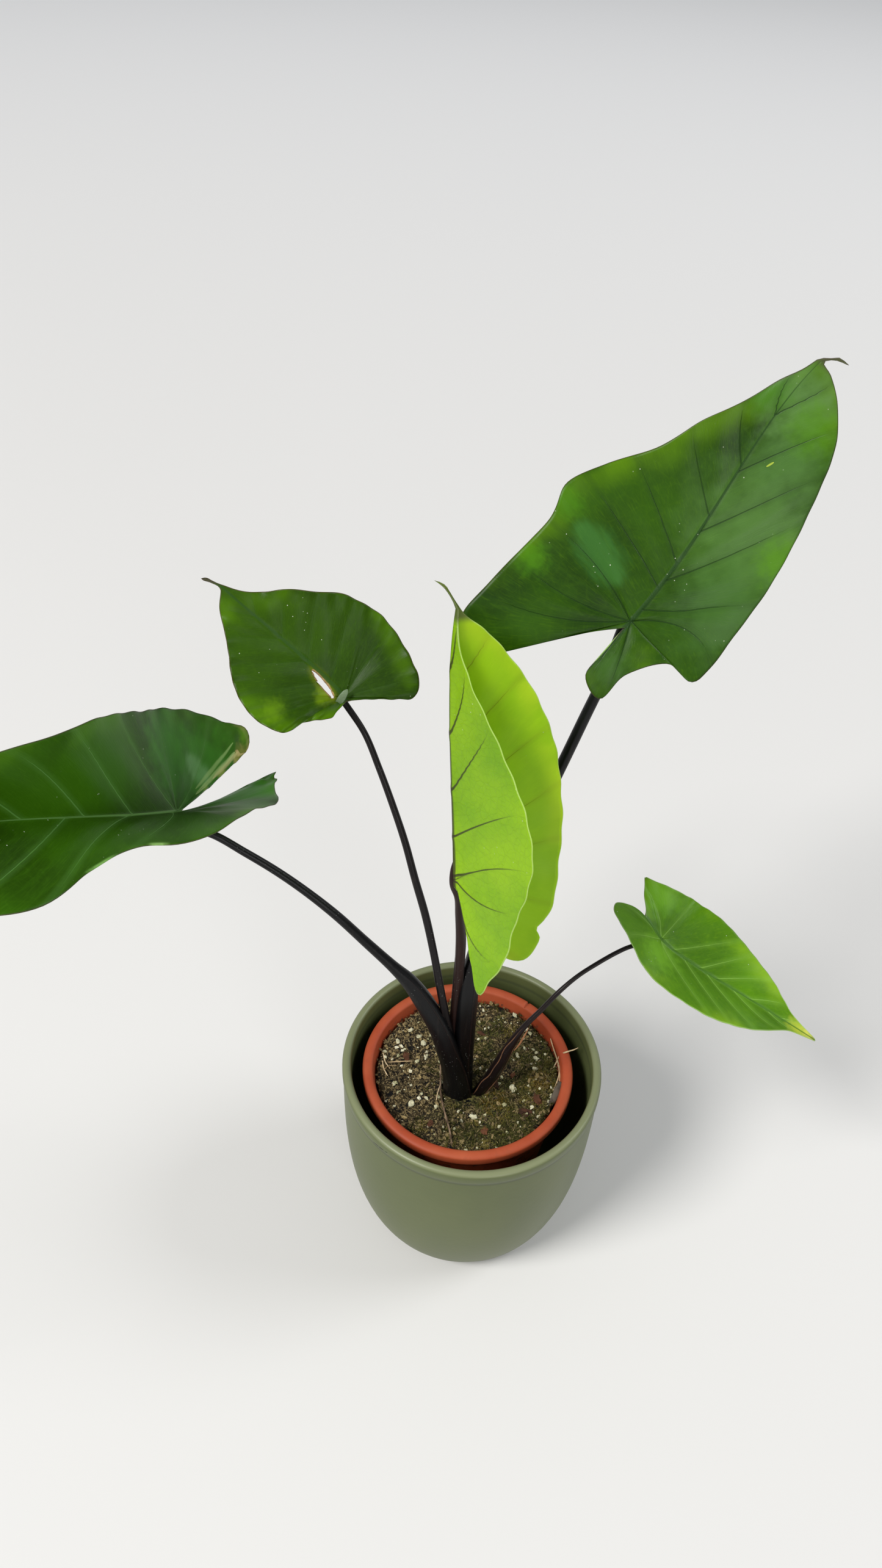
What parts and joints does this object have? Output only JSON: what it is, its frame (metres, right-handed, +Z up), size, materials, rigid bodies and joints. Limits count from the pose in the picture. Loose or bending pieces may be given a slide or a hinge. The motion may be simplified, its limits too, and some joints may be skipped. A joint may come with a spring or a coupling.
{
  "type": "potted black stem alocasia",
  "caption": "Aroid house plant with arrow-shaped leaves on slender black stalks, rooted in a nursery pot that stands in a rounded glazed cover pot.",
  "frame": {"origin": "centre of the cover pot's flat base, where it stands on the table", "axes": "+Z up, +X to the side of the largest leaf, -Y towards the viewer that the leaves face"},
  "size_m": [0.4205, 0.2042, 0.5093],
  "materials": {
    "sage_glaze": "satin sage green glaze",
    "terracotta_plastic": "moulded terracotta coloured plastic, slight sheen",
    "potting_soil": "moist peat mix with perlite, bark and moss",
    "dry_stalk": "dry brown plant fibre",
    "black_stalk": "glossy black plant skin",
    "purple_stalk": "glossy dark purple brown plant skin",
    "mature_leaf": "waxy dark green leaf",
    "small_leaf": "waxy mid green leaf, yellow at the tip",
    "young_leaf": "thin glossy yellow green leaf"
  },
  "bodies": {
    "root": {"cover_pot": "sage_glaze", "grow_pot": "terracotta_plastic", "soil": "potting_soil", "dry_root": "dry_stalk", "stem_base": "black_stalk", "petiole_large_right": "black_stalk", "petiole_young": "purple_stalk", "petiole_upper_left": "black_stalk", "petiole_lower_left": "black_stalk", "petiole_small_right": "black_stalk", "leaf_large_right": "mature_leaf", "leaf_young": "young_leaf", "leaf_upper_left": "mature_leaf", "leaf_lower_left": "mature_leaf", "leaf_small_right": "small_leaf"}
  },
  "joints": []
}
